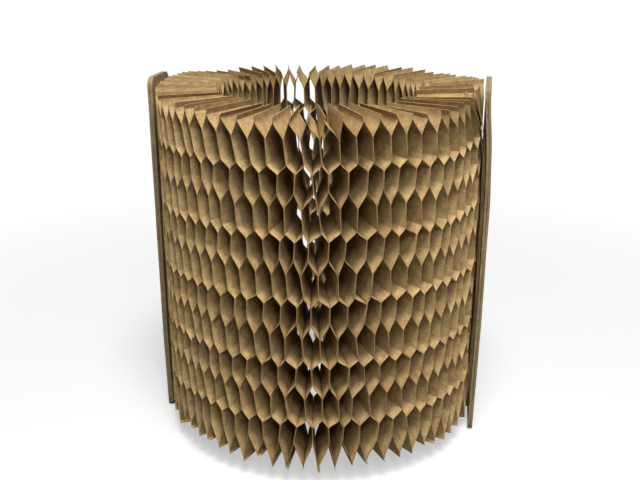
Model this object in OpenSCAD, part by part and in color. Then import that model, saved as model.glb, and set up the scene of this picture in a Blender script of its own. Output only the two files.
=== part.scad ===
// Honeycomb paper sleeve, drawn opened out into a ring, as it stands in use.
// Narrow upright leaves of kraft paper are glued to their neighbours along level glue lines, half a
// pitch apart from one pair of leaves to the next, so that the pack opens into six-sided cells.
// Two stiff cover cards close it, one at each side, and the sleeve stands on them.
// A heading is an angle in degrees, turned from the front (-Y) towards +X.

/* [Leaves] */
// Distance from the middle of the ring to the outer edges of the leaves
ring_r = 56; // [52:1:64]
// Width of a leaf, from the inside of the ring to the outside
leaf_w = 20; // [15:0.5:23]
// Thickness that a sheet of paper is drawn with
paper_t = 0.3; // [0.2:0.05:0.35]
// Slit left for the glue between two leaves
glue_gap = 0.04; // [0.02:0.01:0.08]
// Number of leaves in the front band
front_leaves = 73; // [60:1:80]
// Number of leaves in the back band
back_leaves = 72; // [60:1:80]
// Height of the leaves' top edges above the floor
leaf_top = 119.6; // [116:0.2:122]

/* [Cells] */
// Height of the taller glue lines
tall_line_h = 7; // [6:0.2:8]
// Height of the shorter glue lines
short_line_h = 5.4; // [4.6:0.2:6.4]
// Height of the steep cell walls, above each taller glue line
steep_rise = 5.1; // [4.4:0.1:5.8]
// Height of the flatter cell walls, below each taller glue line
flat_rise = 2.9; // [2.4:0.1:3.4]
// Number of whole pitches of cells in the height
cell_rows = 5; // [3:1:5]
// Height left of the cut glue line at the top edge
top_cut_h = 1.4; // [0.8:0.1:2]
// Height of the last cell walls, which close into tips at the bottom edge
tip_rise = 8.4; // [7:0.1:9]
// Height left of the cut glue line at the bottom edge
bottom_cut_h = 0.8; // [0.5:0.1:1.5]

/* [Cover cards] */
// Height of a cover card
card_h = 123; // [120:1:140]
// Width of the right cover card
right_card_w = 24.2; // [22:0.2:28]
// Width of the left cover card
left_card_w = 18.6; // [16:0.2:22]
// Thickness of a cover card, two plies of board
card_t = 1.9; // [1:0.1:3]
// Radius of the corners of a cover card
card_corner_r = 3; // [1:0.5:5]
// Clearance between a cover card and the leaf that it is glued to
card_gap = 0.2; // [0.1:0.05:0.4]

/* [Hidden] */

// Where the fold lines of a band stand, by the share of its leaves passed from its first one:
// the place round the ring, how far inside ring_r it is, the heading of the leaf, and the stretch
// in height, which grows where the cells close up towards the cover cards.
FRONT_PLACE = [[0, -100], [0.14, -86], [0.27, -64.5], [0.58, -5.2], [0.9, 59], [0.96, 78], [1, 90]];
FRONT_INSET = [[0, 1.4], [0.14, 0.8], [0.27, 0], [0.79, 0.3], [0.9, 0.8], [0.96, 1.4], [1, 1.1]];
FRONT_HEADING = [[0, -112], [0.14, -97], [0.27, -69], [0.58, -5], [0.79, 43], [0.9, 70], [0.96, 94], [1, 114]];
FRONT_STRETCH = [[0, 1.045], [0.14, 1.03], [0.3, 1], [0.85, 1], [1, 1.04]];
BACK_PLACE = [[0, 91], [0.11, 104], [0.25, 124], [0.56, 180], [0.86, 237], [1, 259.6]];
BACK_INSET = [[0, 0.9], [0.11, 1.2], [0.25, 0], [0.86, 0], [1, 1]];
BACK_HEADING = [[0, 115.5], [0.11, 124], [0.25, 128], [0.56, 180], [0.86, 238], [1, 248]];
BACK_STRETCH = [[0, 1.045], [0.2, 1], [0.8, 1], [1, 1.045]];
FRONT_BAND = [front_leaves, FRONT_PLACE, FRONT_INSET, FRONT_HEADING, FRONT_STRETCH];
BACK_BAND = [back_leaves, BACK_PLACE, BACK_INSET, BACK_HEADING, BACK_STRETCH];

// Headings of the cards, and how far each runs on past the outer edge of the leaf glued to it
right_card_heading = 172.5;
right_card_overhang = 2.8;
left_card_heading = 172;
left_card_overhang = 4.4;

// Middles of the cards' far edges, from the leaves that they are glued to
card_stand = paper_t / 2 + card_gap + card_t / 2;
right_card_far =
    line_outer(FRONT_BAND, front_leaves) + right_card_overhang * heading(right_card_heading)
    - card_stand * across(right_card_heading);
left_card_far =
    line_outer(BACK_BAND, back_leaves) + left_card_overhang * heading(left_card_heading)
    + card_stand * across(left_card_heading);
// Distance from the middle of the ring to the outermost corner of each card
right_card_reach = right_card_far[0] + card_t / 2 * abs(cos(right_card_heading));
left_card_reach =
    left_card_w * sin(left_card_heading) + card_t / 2 * abs(cos(left_card_heading)) - left_card_far[0];

// Glue lines are counted down from the cut one at the top edge to the cut one at the bottom edge
last_line = 2 * cell_rows + 1;
leaf_bottom = line_low(last_line);
mid_z = (leaf_top + leaf_bottom) / 2;
// Cutting tools run past the leaf by this much
cut_past = 1;

function heading(a) = [sin(a), -cos(a)];
function across(a) = [cos(a), sin(a)];
function share(band, k) = k / band[0];
function line_heading(band, k) = lookup(share(band, k), band[3]);
function line_outer(band, k) =
    (ring_r - lookup(share(band, k), band[2])) * heading(lookup(share(band, k), band[1]));
function line_inner(band, k) = line_outer(band, k) - leaf_w * heading(line_heading(band, k));
function stretch(band, k) = lookup(share(band, k + 0.5), band[4]);
function stretched(z, s) = mid_z + (z - mid_z) * s;

// Upper and lower edge of glue line n; even ones are short
function line_high(n) = n == 0 ? leaf_top : line_low(n - 1) - rise_above(n);
function line_low(n) =
    line_high(n)
    - (n == 0 ? top_cut_h : n == last_line ? bottom_cut_h : n % 2 == 1 ? tall_line_h : short_line_h);
// Height of the sloping walls above and below glue line n
function rise_above(n) = n == 0 ? 0 : n == last_line ? tip_rise : n % 2 == 1 ? steep_rise : flat_rise;
function rise_below(n) = n == last_line ? 0 : rise_above(n + 1);

// Half the height that a sloping wall takes up, for a cell as wide as w
function half_wall(rise, w) = rise == 0 ? -cut_past : paper_t / 2 * sqrt(1 + pow(rise / w, 2));

// Plan of the wedge between two fold lines, drawn in from them by two margins and longer by past
module wedge_plan(band, k, margin_a, margin_b, past) {
    a = line_heading(band, k);
    b = line_heading(band, k + 1);
    polygon([
        line_outer(band, k) + margin_a * across(a) + past * heading(a),
        line_outer(band, k + 1) - margin_b * across(b) + past * heading(b),
        line_inner(band, k + 1) - margin_b * across(b) - past * heading(b),
        line_inner(band, k) + margin_a * across(a) - past * heading(a)
    ]);
}

// Section through the open side of the cells, for the glue lines that lie on the leaf's other face:
// side is 1 where the cells open towards the next leaf and -1 where they open towards the last one
module cell_section(w, side, first, s) {
    shut = w / 2;
    open = shut + paper_t;
    for (n = [first : 2 : last_line]) {
        up = rise_above(n) * s;
        down = rise_below(n) * s;
        top = stretched(line_high(n), s) + up / 2 - half_wall(up, w);
        bottom = stretched(line_low(n), s) - down / 2 + half_wall(down, w);
        climb = up / w;
        drop = down / w;
        polygon([
            [-side * shut, bottom + drop * shut],
            [side * open, bottom - drop * open],
            [side * open, top + climb * open],
            [-side * shut, top - climb * shut]
        ]);
    }
}

// One folded leaf: what stays of a wedge once the cells are cut into it from both faces
module leaf(band, k) {
    outer = (line_outer(band, k) + line_outer(band, k + 1)) / 2;
    inner = (line_inner(band, k) + line_inner(band, k + 1)) / 2;
    run = outer - inner;
    a = atan2(run[0], -run[1]);
    w_outer = (line_outer(band, k + 1) - line_outer(band, k)) * across(a);
    w_inner = (line_inner(band, k + 1) - line_inner(band, k)) * across(a);
    s = stretch(band, k);
    low = stretched(leaf_bottom, s);
    high = stretched(leaf_top, s);
    start = inner - cut_past * heading(a);
    skin = glue_gap / 2 + paper_t;
    difference() {
        translate([0, 0, low])
            linear_extrude(high - low)
            wedge_plan(band, k, glue_gap / 2, glue_gap / 2, 0);
        for (side = [-1, 1]) {
            first = (k % 2 == 0) == (side > 0) ? 1 : 0;
            intersection() {
                translate([0, 0, low - 2 * cut_past])
                    linear_extrude(high - low + 4 * cut_past)
                    wedge_plan(
                        band, k,
                        side > 0 ? skin : -cut_past,
                        side > 0 ? -cut_past : skin,
                        cut_past
                    );
                multmatrix([
                    [cos(a), 0, sin(a), start[0]],
                    [sin(a), 0, -cos(a), start[1]],
                    [0, 1, 0, 0]
                ])
                    linear_extrude(norm(run) + 2 * cut_past)
                    cell_section(max(w_outer, w_inner), side, first, s);
            }
        }
    }
}

// A cover card: two plies with rounded corners, from its far edge back towards the front
module cover_card(far, a, w) {
    translate([far[0], far[1], 0])
        multmatrix([
            [-sin(a), 0, cos(a), -cos(a) * card_t / 2],
            [cos(a), 0, sin(a), -sin(a) * card_t / 2],
            [0, 1, 0, 0]
        ])
        linear_extrude(card_t)
        difference() {
            square([w, card_h]);
            for (x = [0, w])
                translate([x, card_h])
                    card_corner(x == 0 ? 1 : -1);
        }
}

// What a rounded corner takes off a card's top edge
module card_corner(side) {
    difference() {
        translate([-card_corner_r, -card_corner_r])
            square(2 * card_corner_r);
        translate([side * card_corner_r, -card_corner_r])
            circle(card_corner_r, $fn = 48);
        translate([side > 0 ? card_corner_r : -2 * card_corner_r, -card_corner_r])
            square([card_corner_r, card_corner_r]);
        translate([-card_corner_r, -2 * card_corner_r])
            square([2 * card_corner_r, card_corner_r]);
    }
}

module front_honeycomb() {
    color("#a98a58")
        for (k = [0 : front_leaves - 1]) leaf(FRONT_BAND, k);
}

module back_honeycomb() {
    color("#a98a58")
        for (k = [0 : back_leaves - 1]) leaf(BACK_BAND, k);
}

module left_cover_card() {
    color("#8a6f4c")
        cover_card(left_card_far, left_card_heading, left_card_w);
}

module right_cover_card() {
    color("#8a6f4c")
        cover_card(right_card_far, right_card_heading, right_card_w);
}

// The sleeve stands with its two cards reaching as far from the middle as each other
module placed() {
    translate([-(right_card_reach - left_card_reach) / 2, 0, 0])
        children();
}

placed() front_honeycomb();
placed() back_honeycomb();
placed() left_cover_card();
placed() right_cover_card();
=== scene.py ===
"""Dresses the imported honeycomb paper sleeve: folded kraft leaves, two-ply cover cards, a pale studio."""

import math

import bpy
import numpy as np
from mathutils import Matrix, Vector, noise


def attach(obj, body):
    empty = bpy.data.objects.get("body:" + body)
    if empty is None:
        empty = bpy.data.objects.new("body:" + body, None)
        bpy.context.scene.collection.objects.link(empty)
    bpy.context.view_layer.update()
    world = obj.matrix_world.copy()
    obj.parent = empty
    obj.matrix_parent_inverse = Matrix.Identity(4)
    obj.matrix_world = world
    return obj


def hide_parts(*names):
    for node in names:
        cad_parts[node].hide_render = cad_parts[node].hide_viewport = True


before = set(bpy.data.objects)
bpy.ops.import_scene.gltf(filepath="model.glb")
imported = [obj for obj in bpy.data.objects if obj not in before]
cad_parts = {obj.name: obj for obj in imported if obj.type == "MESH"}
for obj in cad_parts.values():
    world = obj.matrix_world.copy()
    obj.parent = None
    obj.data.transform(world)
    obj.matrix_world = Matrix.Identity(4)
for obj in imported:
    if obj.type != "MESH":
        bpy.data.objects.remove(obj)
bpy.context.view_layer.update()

MM = 0.001

# The sleeve in millimetres, as the part's source has it
RING_R = 56
LEAF_W = 20
GLUE_GAP = 0.04
DRAWN_PAPER_T = 0.3
TALL_LINE_H = 7
SHORT_LINE_H = 5.4
STEEP_RISE = 5.1
FLAT_RISE = 2.9
CELL_ROWS = 5
LEAF_TOP = 119.6
TOP_CUT_H = 1.4
TIP_RISE = 8.4
BOTTOM_CUT_H = 0.8
CARD_H = 123
CARD_T = 1.9
CARD_GAP = 0.2

# Each band: its leaves, and its fold lines' place, inset, heading and stretch by the share passed,
# then the real leaves' strays: how many degrees their tops lean round the ring and how far they tuck in,
# how far the inner ends sway, and how far the taller glue lines slant
FRONT_BAND = {
    "leaves": 73,
    "place": ((0, -100), (0.14, -86), (0.27, -64.5), (0.58, -5.2), (0.9, 59), (0.96, 78), (1, 90)),
    "inset": ((0, 1.4), (0.14, 0.8), (0.27, 0), (0.79, 0.3), (0.9, 0.8), (0.96, 1.4), (1, 1.1)),
    "heading": (
        (0, -112), (0.14, -97), (0.27, -69), (0.58, -5), (0.79, 43), (0.9, 70), (0.96, 94), (1, 114)
    ),
    "stretch": ((0, 1.045), (0.14, 1.03), (0.3, 1), (0.85, 1), (1, 1.04)),
    "top_lean": (
        (0, -0.6), (0.2, -2), (0.4, -1.6), (0.6, -0.8), (0.8, -2),
        (0.9, -7), (0.955, -16), (0.965, -6), (1, -8)
    ),
    "top_tuck": ((0, 0.3), (0.1, 0), (0.9, 0), (0.95, 0.5), (0.965, 3.2), (1, 3.8)),
    "sway": ((0, 0), (0.45, 0), (0.55, -0.8), (0.65, -0.8), (0.75, 0), (1, 0)),
    "slant": ((0, 0.1), (0.2, 0.9), (0.5, 0.6), (0.7, 0.1), (1, -0.1)),
}
BACK_BAND = {
    "leaves": 72,
    "place": ((0, 91), (0.11, 104), (0.25, 124), (0.56, 180), (0.86, 237), (1, 259.6)),
    "inset": ((0, 0.9), (0.11, 1.2), (0.25, 0), (0.86, 0), (1, 1)),
    "heading": ((0, 115.5), (0.11, 124), (0.25, 128), (0.56, 180), (0.86, 238), (1, 248)),
    "stretch": ((0, 1.045), (0.2, 1), (0.8, 1), (1, 1.045)),
    "top_lean": ((0, 0), (0.2, -1), (0.5, 1), (0.8, 1.5), (1, 0.5)),
    "top_tuck": ((0, 0), (0.9, 0), (1, 0.3)),
    "sway": ((0, 0), (0.3, 0), (0.45, 3.2), (0.65, 3.2), (0.8, 0), (1, 0)),
    "slant": ((0, 0), (0.5, 0.4), (1, 0)),
}
LAST_LINE = 2 * CELL_ROWS + 1
# The lean and the tuck fade out downwards to nothing at this height
LEAN_FOOT_Z = 97

# Kraft paper as thin as the real one, and the strays of real fold lines from the even pattern
PAPER_T = 0.1
SIDE_WAVE = 0.8
SIDE_STRAY = 0.32
INNER_STRAY = 0.35
LINE_LEAN = 0.35
LEVEL_WAVE = 0.5
LEVEL_STRAY = 0.16
TIP_STRAY = 0.8
EDGE_STRAY = 0.25
BULGE = 0.16
# The smooth strays: how fast each changes from leaf to leaf and from line to line, and its noise channel
LEAF_STEP = 0.11
SIDE_DRIFT = (1, 0.31, 1)
INNER_DRIFT = (2.3, 0.5, 2)
LEVEL_DRIFT = (1.4, 0.12, 3)
# The shorter glue lines slant the other way, by this share of the taller ones' slant
SHORT_SLANT = -0.6
# How rounded a wall meets its glue lines, from straight at 0: the least, and the range of chance
EASE_LEAST = 0.25
EASE_RANGE = 0.6
# The outer edges' waves: millimetres to a radian, and the range of their random start in radians
EDGE_WAVE = 9
EDGE_START = 6.3
# Cells this wide stray in full, and no leaf comes nearer to the cards' top edges than the ease
OPEN_CELL_W = 2.6
TOP_EASE = 0.2
# Edges of facets that turn by less than this many degrees are smoothed over
SMOOTH_ANGLE = 28

# A leaf's grid: rows down each sloping wall, by the share of its height, and columns from outside in
SLOPE_SHARES = (0.12, 0.32, 0.5, 0.68, 0.88)
LEAF_COLUMNS = 7

# Cover cards: heading, width and how far past the last leaf each runs; two plies, parted at the near edge
RIGHT_CARD_HEADING = 172.5
RIGHT_CARD_W = 24.2
RIGHT_CARD_OVERHANG = 2.8
LEFT_CARD_HEADING = 172
LEFT_CARD_W = 18.6
LEFT_CARD_OVERHANG = 4.4
PLY_SLIT = 0.1
# The dressed cards stay this far inside the plain ones
CARD_EASE = 0.04
TOP_CORNER_R = 3
BOTTOM_CORNER_R = 2
# The bow grows from the far edge to the near one by this power, and the plies part by this one
BOW_POWER = 1.6
PARTING_POWER = 12
# Softening of the plies' edges, and how far apart along them the parting changes, in mm
CARD_ROUNDING = 0.12
PARTING_PITCH = 15
# How far the near edge of each card bows outwards, by height
LEFT_CARD_BOW = ((0, -0.5), (30, 0), (123, 0))
RIGHT_CARD_BOW = ((0, -0.5), (43, 0.35), (86, 0.6), (104, 0), (119, -1.4), (123, -1.6))

# The last leaves lie closed against the near part of the right card: how far inwards of its face each
# lies, how far its top curls in, and how much lower it ends
PRESSED_LEAVES = ((0.2, 2.6, 0.3), (0.5, 3.9, 1.4), (0.8, 5.4, 0.8))
PRESSED_W = 14
PRESSED_FOOT_Z = 13
# Their grid, how far inside the card's near edge they end, their stray, and how much less they curl
# at the back than at the front
PRESSED_ROWS = 28
PRESSED_COLUMNS = 5
PRESSED_INSET = 0.7
PRESSED_STRAY = 0.3
CURL_FADE = 0.35


def heading(a):
    return np.array((math.sin(math.radians(a)), -math.cos(math.radians(a))))


def across(a):
    return np.array((math.cos(math.radians(a)), math.sin(math.radians(a))))


def lookup(share, stations):
    return float(np.interp(share, [s[0] for s in stations], [s[1] for s in stations]))


def wave(x, y, channel):
    """A smooth random number from about -1 to 1."""
    return 1.6 * noise.noise(Vector((x, y, 7.3 * channel + 0.5)))


def fold_levels():
    """Upper and lower edge of each glue line from the top down; even ones are short."""
    levels = [(LEAF_TOP, LEAF_TOP - TOP_CUT_H)]
    for n in range(1, LAST_LINE + 1):
        rise = TIP_RISE if n == LAST_LINE else STEEP_RISE if n % 2 else FLAT_RISE
        line_h = BOTTOM_CUT_H if n == LAST_LINE else TALL_LINE_H if n % 2 else SHORT_LINE_H
        high = levels[-1][1] - rise
        levels.append((high, high - line_h))
    return levels


LEVELS = fold_levels()
MID_Z = (LEVELS[0][0] + LEVELS[-1][1]) / 2


class Band:
    """The fold lines of one band, with the strays that a line shares with both leaves glued there."""

    def __init__(self, facts, seed):
        self.facts = facts
        self.seed = seed
        self.leaves = facts["leaves"]
        random = np.random.default_rng(seed)
        self.strays = np.clip(random.normal(0, 1, (self.leaves + 1, LAST_LINE + 1, 5)), -2, 2)
        self.walls = random.uniform(0, 1, (self.leaves, LAST_LINE + 1, 2))
        self.edges = random.uniform(0, 1, (self.leaves, 4))

    def value(self, k, name):
        return lookup(k / self.leaves, self.facts[name])

    def line(self, k):
        """Outer end and heading of fold line k."""
        outer = (RING_R - self.value(k, "inset")) * heading(self.value(k, "place"))
        return outer, self.value(k, "heading")

    def room(self, k):
        """Width of the cells beside fold line k, at their outer end."""
        a, b = max(k - 1, 0), min(k + 1, self.leaves)
        return abs(float((self.line(b)[0] - self.line(a)[0]) @ across(self.line(k)[1]))) / (b - a)

    def drift(self, k, n, rates):
        """The smooth stray of glue line n on fold line k, from about -1 to 1."""
        by_leaf, by_line, channel = rates
        return wave(by_leaf * (LEAF_STEP * k + self.seed), by_line * n, channel)

    def loose(self, k):
        """How freely leaf k strays: in full where the cells are open, less where they are packed."""
        return min(self.room(k) / OPEN_CELL_W, 1)

    def point(self, k, n, end, shares, side):
        """Points of glue line n on fold line k, at its upper (0) or lower (1) end, from outside in."""
        a = self.value(k, "heading")
        stray = self.strays[k, n]
        z = MID_Z + (LEVELS[n][end] - MID_Z) * self.value(k, "stretch")
        z += LEVEL_WAVE * self.drift(k, n, LEVEL_DRIFT) + LEVEL_STRAY * stray[2 + end]
        if n == LAST_LINE:
            z += TIP_STRAY * stray[4]
        z = min(z, CARD_H - TOP_EASE)
        fade = max(0, (z - LEAN_FOOT_Z) / (LEAF_TOP - LEAN_FOOT_Z)) ** 2
        sideways = SIDE_WAVE * self.drift(k, n, SIDE_DRIFT) + SIDE_STRAY * stray[0]
        slant = self.value(k, "slant") * (1 if n % 2 else SHORT_SLANT)
        tilt = (LINE_LEAN * stray[1] + slant) * (end - 0.5)
        turn = INNER_STRAY * (self.drift(k, n, INNER_DRIFT) + 0.5 * stray[3]) + self.value(k, "sway")
        shift = (GLUE_GAP + PAPER_T) / 2 * side + self.loose(k) * (sideways + tilt + turn * shares)
        place = self.value(k, "place") + self.value(k, "top_lean") * fade
        outer = (RING_R - self.value(k, "inset") - self.value(k, "top_tuck") * fade) * heading(place)
        xy = outer - LEAF_W * shares[:, None] * heading(a) + shift[:, None] * across(a)
        return np.column_stack((xy, np.full(len(shares), z)))


def leaf_rows(band, k):
    """Grid points of leaf k, row by row from the top: two rows on each glue line and some on each wall."""
    shares = np.linspace(0, 1, LEAF_COLUMNS)
    lines = []
    for n in range(LAST_LINE + 1):
        on_next = (n % 2 == 0) == (k % 2 == 0)
        side = -1 if on_next else 1
        lines.append([band.point(k + on_next, n, end, shares, side) for end in (0, 1)])
    rows = []
    for n, (high, low) in enumerate(lines):
        rows += [high, low]
        if n == LAST_LINE:
            break
        below = lines[n + 1][0]
        ease = EASE_LEAST + EASE_RANGE * band.walls[k, n, 0]
        bulge = BULGE * (band.walls[k, n, 1] - 0.5) * 2 * band.loose(k)
        for f in SLOPE_SHARES:
            eased = f + ease * (f * f * (3 - 2 * f) - f)
            row = low + (below - low) * eased
            row[:, 2] = low[:, 2] + (below[:, 2] - low[:, 2]) * f
            row[:, :2] += bulge * math.sin(math.pi * f) * across(band.line(k)[1])
            rows.append(row)
    return np.array(rows)


def sheet(name, rows):
    """A sheet laid on grid points in millimetres, row by row from the top."""
    points = np.array(rows)
    down, wide = points.shape[:2]
    bpy.ops.mesh.primitive_grid_add(x_subdivisions=wide - 1, y_subdivisions=down - 1, size=1)
    piece = bpy.context.object
    piece.name = name
    piece.data.vertices.foreach_set("co", (points * MM).astype(np.float32).ravel())
    return piece


def leaf(band, k, name):
    """One folded leaf: a grid of paper laid on its fold lines, then given its thickness."""
    rows = leaf_rows(band, k)
    outwards = rows[:, 0, :2] - rows[:, -1, :2]
    outwards /= np.linalg.norm(outwards, axis=1)[:, None]
    ragged = 0.5 + 0.5 * np.sin(rows[:, 0, 2] / EDGE_WAVE + EDGE_START * band.edges[k, 1])
    ragged = EDGE_STRAY * band.loose(k) * (band.edges[k, 0] + ragged)
    rows[:, 0, :2] -= ragged[:, None] * outwards
    rows[:, :, 0] += CENTRING
    piece = sheet(name, rows)
    tone = piece.data.attributes.new("leaf_tone", "FLOAT", "POINT")
    tone.data.foreach_set("value", np.full(len(piece.data.vertices), band.edges[k, 3], np.float32))
    thicken(piece, PAPER_T, KRAFT_PAPER, CUT_PAPER)
    return piece


def thicken(piece, thickness, face, rim):
    """Gives a sheet its thickness, half to each side, and its rim the look of a cut edge."""
    body = piece.modifiers.new("body", "SOLIDIFY")
    body.thickness = thickness * MM
    body.offset = 0
    body.use_even_offset = True
    body.material_offset_rim = 1
    piece.data.materials.append(face)
    piece.data.materials.append(rim)
    bpy.context.view_layer.objects.active = piece
    bpy.ops.object.modifier_apply(modifier=body.name)


def pressed_leaf(name, lift, curl, lower):
    """A leaf that lies closed against the right card, with its top curled in."""
    columns = np.linspace(0, 1, PRESSED_COLUMNS)
    rows = []
    for z in np.linspace(LEAF_TOP + 1.5 - lower, PRESSED_FOOT_Z + 2 * lower, PRESSED_ROWS):
        up = max(0, (z - LEAN_FOOT_Z) / (LEAF_TOP - LEAN_FOOT_Z)) ** 2
        bow = lookup(z, RIGHT_CARD_BOW)
        along = RIGHT_CARD_W - PRESSED_INSET - 0.5 * lower - PRESSED_W * columns
        along -= PRESSED_STRAY * wave(lift * 9, z / 14, 6)
        inward = CARD_T / 2 + lift * (1 + PRESSED_STRAY * wave(lift * 7, z / 9, 8))
        inward = inward - bow * (along / RIGHT_CARD_W) ** BOW_POWER + curl * up * (1 - CURL_FADE * columns)
        xy = RIGHT_CARD_FAR - along[:, None] * heading(RIGHT_CARD_HEADING)
        xy = xy + inward[:, None] * across(RIGHT_CARD_HEADING)
        rows.append(np.column_stack((xy[:, 0] + CENTRING, xy[:, 1], np.full(len(along), z))))
    piece = sheet(name, rows)
    thicken(piece, PAPER_T, KRAFT_PAPER, CUT_PAPER)
    return piece


def joined(pieces, name):
    bpy.ops.object.select_all(action="DESELECT")
    for piece in pieces:
        piece.select_set(True)
    bpy.context.view_layer.objects.active = pieces[0]
    bpy.ops.object.join()
    piece = bpy.context.object
    piece.name = name
    return piece


def dress(piece, node):
    """The piece stands for its CAD node and rides with the sleeve."""
    bpy.ops.object.select_all(action="DESELECT")
    piece.select_set(True)
    bpy.context.view_layer.objects.active = piece
    bpy.ops.object.shade_smooth_by_angle(angle=math.radians(SMOOTH_ANGLE))
    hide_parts(node)
    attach(piece, "root")


def honeycomb(facts, seed, name, node, pressed=()):
    """A band of leaves, with those that lie closed against a card."""
    band = Band(facts, seed)
    leaves = [leaf(band, k, f"{name}_{k}") for k in range(band.leaves)]
    leaves += [pressed_leaf(f"{name}_pressed_{n}", *lie) for n, lie in enumerate(pressed)]
    dress(joined(leaves, name), node)


def card_ply(name, far, a, w, outward, lift, bow, seed):
    """One ply of a cover card: a sheet of board with rounded corners, bowed, lift outwards of the middle."""
    turns = np.radians(np.linspace(0, 90, 7))
    foot = CARD_EASE + BOTTOM_CORNER_R * (1 - np.cos(turns))
    head = CARD_H - CARD_EASE - TOP_CORNER_R * (1 - np.cos(turns[::-1]))
    heights = np.concatenate((foot, np.linspace(foot[-1], head[0], 34)[1:-1], head))
    below = np.clip(CARD_EASE + BOTTOM_CORNER_R - heights, 0, None)
    above = np.clip(heights - (CARD_H - CARD_EASE - TOP_CORNER_R), 0, None)
    inset = BOTTOM_CORNER_R - np.sqrt(np.clip(BOTTOM_CORNER_R ** 2 - below ** 2, 0, None))
    inset += TOP_CORNER_R - np.sqrt(np.clip(TOP_CORNER_R ** 2 - above ** 2, 0, None))
    columns = np.linspace(0, 1, 13)
    rows = []
    for z, corner in zip(heights, inset):
        along = CARD_EASE + corner + columns * (w - 2 * corner - 2 * CARD_EASE)
        swell = lookup(z, bow) * (along / w) ** BOW_POWER
        parted = 0.5 * PLY_SLIT * (1 + wave(seed, z / PARTING_PITCH, 5)) * (along / w) ** PARTING_POWER
        out = lift + swell + math.copysign(1, lift) * parted
        xy = far - along[:, None] * heading(a) + outward * out[:, None] * across(a)
        rows.append(np.column_stack((xy[:, 0] + CENTRING, xy[:, 1], np.full(len(along), z))))
    piece = sheet(name, rows)
    thicken(piece, CARD_T / 2 - CARD_EASE - PLY_SLIT, KRAFT_BOARD, CUT_BOARD)
    rounding = piece.modifiers.new("rounding", "BEVEL")
    rounding.width = CARD_ROUNDING * MM
    rounding.segments = 2
    rounding.limit_method = "ANGLE"
    rounding.angle_limit = math.radians(50)
    bpy.ops.object.modifier_apply(modifier=rounding.name)
    return piece


def cover_card(name, far, a, w, outward, bow, seed):
    """A cover card: two plies, which part a little at the near edge."""
    lift = CARD_T / 4 - CARD_EASE / 2 - PLY_SLIT / 2
    plies = [
        card_ply(f"{name}_outer_ply", far, a, w, outward, lift, bow, seed),
        card_ply(f"{name}_inner_ply", far, a, w, outward, -lift, bow, seed),
    ]
    dress(joined(plies, f"{name}_plies"), name)


def linear(hex_colour):
    """An sRGB hex colour as the linear RGBA that the shader takes."""
    parts = [int(hex_colour[i:i + 2], 16) / 255 for i in (1, 3, 5)]
    return tuple(c / 12.92 if c <= 0.04045 else ((c + 0.055) / 1.055) ** 2.4 for c in parts) + (1,)


def add_node(tree, kind, settings=(), links=()):
    """A shader node with its settings, by attribute or socket, and its links from other outputs."""
    node = tree.nodes.new(kind)
    for key, value in dict(settings).items():
        if isinstance(key, str) and hasattr(node, key):
            setattr(node, key, value)
        else:
            node.inputs[key].default_value = value
    for key, output in dict(links).items():
        tree.links.new(output, node.inputs[key])
    return node


def ramp(tree, height, stops):
    """A colour ramp over a height, from two stops of position and colour."""
    node = add_node(tree, "ShaderNodeValToRGB", {}, {"Fac": height})
    for element, (position, colour) in zip(node.color_ramp.elements, stops):
        element.position = position
        element.color = colour
    return node.outputs["Color"]


def new_material(name):
    material = bpy.data.materials.new(name)
    material.use_nodes = True
    tree = material.node_tree
    tree.nodes.clear()
    return material, tree


# A kraft fibre is about 0.03 mm wide, too fine to show, so the clumps that fibres gather in are drawn
# instead, in mm: for paper and, coarser, for board; and how many clumps wide the soft clouds are
PAPER_CLUMP = 0.5
BOARD_CLUMP = 2 / 3
CLOUD_CLUMPS = 5
# Mean distance between places where a bark speck may lie, and the depth of the fibres' relief, in mm
SPECK_SPACING = 10 / 9
FIBRE_RELIEF = 0.1
# How much one leaf's tone may differ from the next one's
LEAF_TONES = 0.07


def kraft(name, pale, deep, speck, clump, relief):
    """Unbleached, uncoated kraft: matt brown, mottled by clumps of fibres, with a few dark specks."""
    material, tree = new_material(name)
    place = add_node(tree, "ShaderNodeTexCoord").outputs["Object"]
    fibres = add_node(
        tree, "ShaderNodeTexNoise",
        {"Scale": 1 / (clump * MM), "Detail": 4, "Roughness": 0.6}, {"Vector": place}
    )
    clouds = add_node(
        tree, "ShaderNodeTexNoise", {"Scale": 1 / (clump * CLOUD_CLUMPS * MM), "Detail": 3}, {"Vector": place}
    )
    mixed = add_node(
        tree, "ShaderNodeMix", {"data_type": "FLOAT", 0: 0.4},
        {2: fibres.outputs["Fac"], 3: clouds.outputs["Fac"]}
    )
    leaf_tone = add_node(tree, "ShaderNodeAttribute", {"attribute_name": "leaf_tone"})
    toned = add_node(
        tree, "ShaderNodeMath", {"operation": "MULTIPLY_ADD", 1: LEAF_TONES},
        {0: leaf_tone.outputs["Fac"], 2: mixed.outputs[0]}
    )
    base = ramp(tree, toned.outputs[0], ((0.4, linear(deep)), (0.64, linear(pale))))
    dots = add_node(
        tree, "ShaderNodeTexNoise", {"Scale": 1 / (SPECK_SPACING * MM), "Detail": 1}, {"Vector": place}
    )
    dotted = ramp(tree, dots.outputs["Fac"], ((0.76, (0, 0, 0, 1)), (0.8, (0.7, 0.7, 0.7, 1))))
    specked = add_node(
        tree, "ShaderNodeMix", {"data_type": "RGBA", 7: linear(speck)}, {0: dotted, 6: base}
    )
    bump = add_node(
        tree, "ShaderNodeBump",
        {"Strength": relief, "Distance": FIBRE_RELIEF * MM}, {"Height": mixed.outputs[0]}
    )
    surface = add_node(
        tree, "ShaderNodeBsdfPrincipled", {"Roughness": 0.85, "Specular IOR Level": 0.3},
        {"Base Color": specked.outputs[2], "Normal": bump.outputs["Normal"]}
    )
    add_node(tree, "ShaderNodeOutputMaterial", {}, {"Surface": surface.outputs["BSDF"]})
    return material


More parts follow.
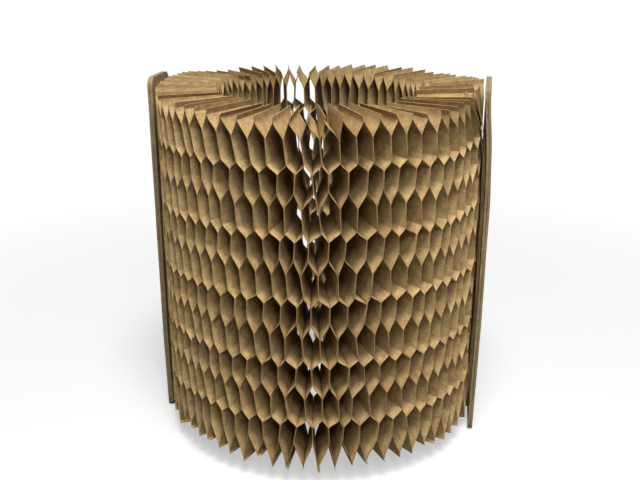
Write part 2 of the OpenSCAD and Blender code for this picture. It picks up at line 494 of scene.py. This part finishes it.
def camera():
    data = bpy.data.cameras.new("camera")
    data.lens = 48.4
    data.sensor_width = 36
    data.clip_start = 0.01
    seen = bpy.data.objects.new("camera", data)
    seen.location = (-0.0003, -0.291, 0.165)
    seen.rotation_euler = (math.radians(71), 0, 0)
    bpy.context.scene.collection.objects.link(seen)
    bpy.context.scene.camera = seen


def lamp(name, place, size, power):
    """A soft square lamp that looks at the middle of the sleeve."""
    data = bpy.data.lights.new(name, "AREA")
    data.shape = "SQUARE"
    data.size = size
    data.energy = power
    held = bpy.data.objects.new(name, data)
    held.location = place
    aim = Vector((0, 0, 0.06)) - Vector(place)
    held.rotation_euler = aim.to_track_quat("-Z", "Y").to_euler()
    bpy.context.scene.collection.objects.link(held)


def seen_only(tree, shown, hidden):
    """Shown to the camera and in reflections, hidden for all other light."""
    path = add_node(tree, "ShaderNodeLightPath").outputs
    seen = path["Is Camera Ray"]
    for ray in ("Is Glossy Ray", "Is Transmission Ray"):
        seen = add_node(tree, "ShaderNodeMath", {"operation": "MAXIMUM"}, {0: seen, 1: path[ray]}).outputs[0]
    return add_node(tree, "ShaderNodeMixShader", {}, {0: seen, 1: hidden, 2: shown}).outputs[0]


# The floor keeps its shadow within the first distance from the middle and is pure white past the second,
# in mm
FLOOR_FADE = (80, 300)


def studio():
    bpy.context.scene.view_settings.view_transform = "Standard"
    world = bpy.data.worlds.new("studio")
    bpy.context.scene.world = world
    world.use_nodes = True
    tree = world.node_tree
    tree.nodes.clear()
    shown = add_node(tree, "ShaderNodeBackground", {"Color": linear("#FFFFFF"), "Strength": 1}).outputs[0]
    light = add_node(tree, "ShaderNodeBackground", {"Color": linear("#FFFFFF"), "Strength": 0.05}).outputs[0]
    add_node(tree, "ShaderNodeOutputWorld", {}, {"Surface": seen_only(tree, shown, light)})
    lamp("key", (0.03, -0.26, 0.66), 0.22, 5.2)
    lamp("front", (0.04, -0.5, 0.5), 0.18, 1.5)
    bpy.ops.mesh.primitive_plane_add(size=6)
    floor = bpy.context.object
    floor.name = "floor"
    # Matt white studio paper: keeps the soft shadow under the sleeve and fades to pure white further out
    material, tree = new_material("matt white studio paper")
    white = add_node(tree, "ShaderNodeBsdfDiffuse", {"Color": linear("#EDEDED")}).outputs[0]
    glow = add_node(tree, "ShaderNodeEmission", {"Color": linear("#FFFFFF"), "Strength": 1}).outputs[0]
    place = add_node(tree, "ShaderNodeTexCoord").outputs["Object"]
    away = add_node(tree, "ShaderNodeVectorMath", {"operation": "LENGTH"}, {0: place}).outputs["Value"]
    bright = add_node(
        tree, "ShaderNodeMapRange",
        {"From Min": FLOOR_FADE[0] * MM, "From Max": FLOOR_FADE[1] * MM, "To Min": 0.5, "To Max": 1},
        {"Value": away}
    ).outputs["Result"]
    lit = add_node(tree, "ShaderNodeMixShader", {}, {0: bright, 1: white, 2: glow}).outputs[0]
    grey = add_node(tree, "ShaderNodeBsdfDiffuse", {"Color": linear("#7C7C7C")}).outputs[0]
    add_node(tree, "ShaderNodeOutputMaterial", {}, {"Surface": seen_only(tree, lit, grey)})
    floor.data.materials.append(material)


# Thin unbleached kraft paper: warm light brown and quite matt, with a fine cloudy mottle
KRAFT_PAPER = kraft("kraft_paper", "#C5A775", "#90754C", "#4A3420", PAPER_CLUMP, 0.6)
# Its cut edge: a little darker, so that each leaf's outline reads as a thin line
CUT_PAPER = kraft("cut_kraft_paper", "#B39566", "#92784F", "#4A3420", PAPER_CLUMP, 0.3)
# Stiff kraft board: greyer and deeper brown than the leaves, with a coarser mottle
KRAFT_BOARD = kraft("kraft_board", "#9C8563", "#7D6848", "#3A2A1A", BOARD_CLUMP, 0.5)
# Its cut edge: slightly paler and rougher, where the two plies show
CUT_BOARD = kraft("cut_kraft_board", "#A28C6A", "#7F6B4C", "#3A2A1A", BOARD_CLUMP, 0.7)

# Where the cards stand, worked out as in the part's source
CARD_STAND = DRAWN_PAPER_T / 2 + CARD_GAP + CARD_T / 2
FRONT_LAST = Band(FRONT_BAND, 3).line(FRONT_BAND["leaves"])[0]
BACK_LAST = Band(BACK_BAND, 11).line(BACK_BAND["leaves"])[0]
RIGHT_CARD_FAR = (
    FRONT_LAST + RIGHT_CARD_OVERHANG * heading(RIGHT_CARD_HEADING) - CARD_STAND * across(RIGHT_CARD_HEADING)
)
LEFT_CARD_FAR = (
    BACK_LAST + LEFT_CARD_OVERHANG * heading(LEFT_CARD_HEADING) + CARD_STAND * across(LEFT_CARD_HEADING)
)
RIGHT_REACH = RIGHT_CARD_FAR[0] - CARD_T / 2 * across(RIGHT_CARD_HEADING)[0]
LEFT_REACH = (
    LEFT_CARD_W * heading(LEFT_CARD_HEADING)[0] - CARD_T / 2 * across(LEFT_CARD_HEADING)[0] - LEFT_CARD_FAR[0]
)
CENTRING = (LEFT_REACH - RIGHT_REACH) / 2

camera()
studio()
bpy.ops.object.select_all(action="DESELECT")
honeycomb(FRONT_BAND, 3, "front_leaves", "front_honeycomb", PRESSED_LEAVES)
honeycomb(BACK_BAND, 11, "back_leaves", "back_honeycomb")
cover_card("right_cover_card", RIGHT_CARD_FAR, RIGHT_CARD_HEADING, RIGHT_CARD_W, -1, RIGHT_CARD_BOW, 2)
cover_card("left_cover_card", LEFT_CARD_FAR, LEFT_CARD_HEADING, LEFT_CARD_W, 1, LEFT_CARD_BOW, 9)
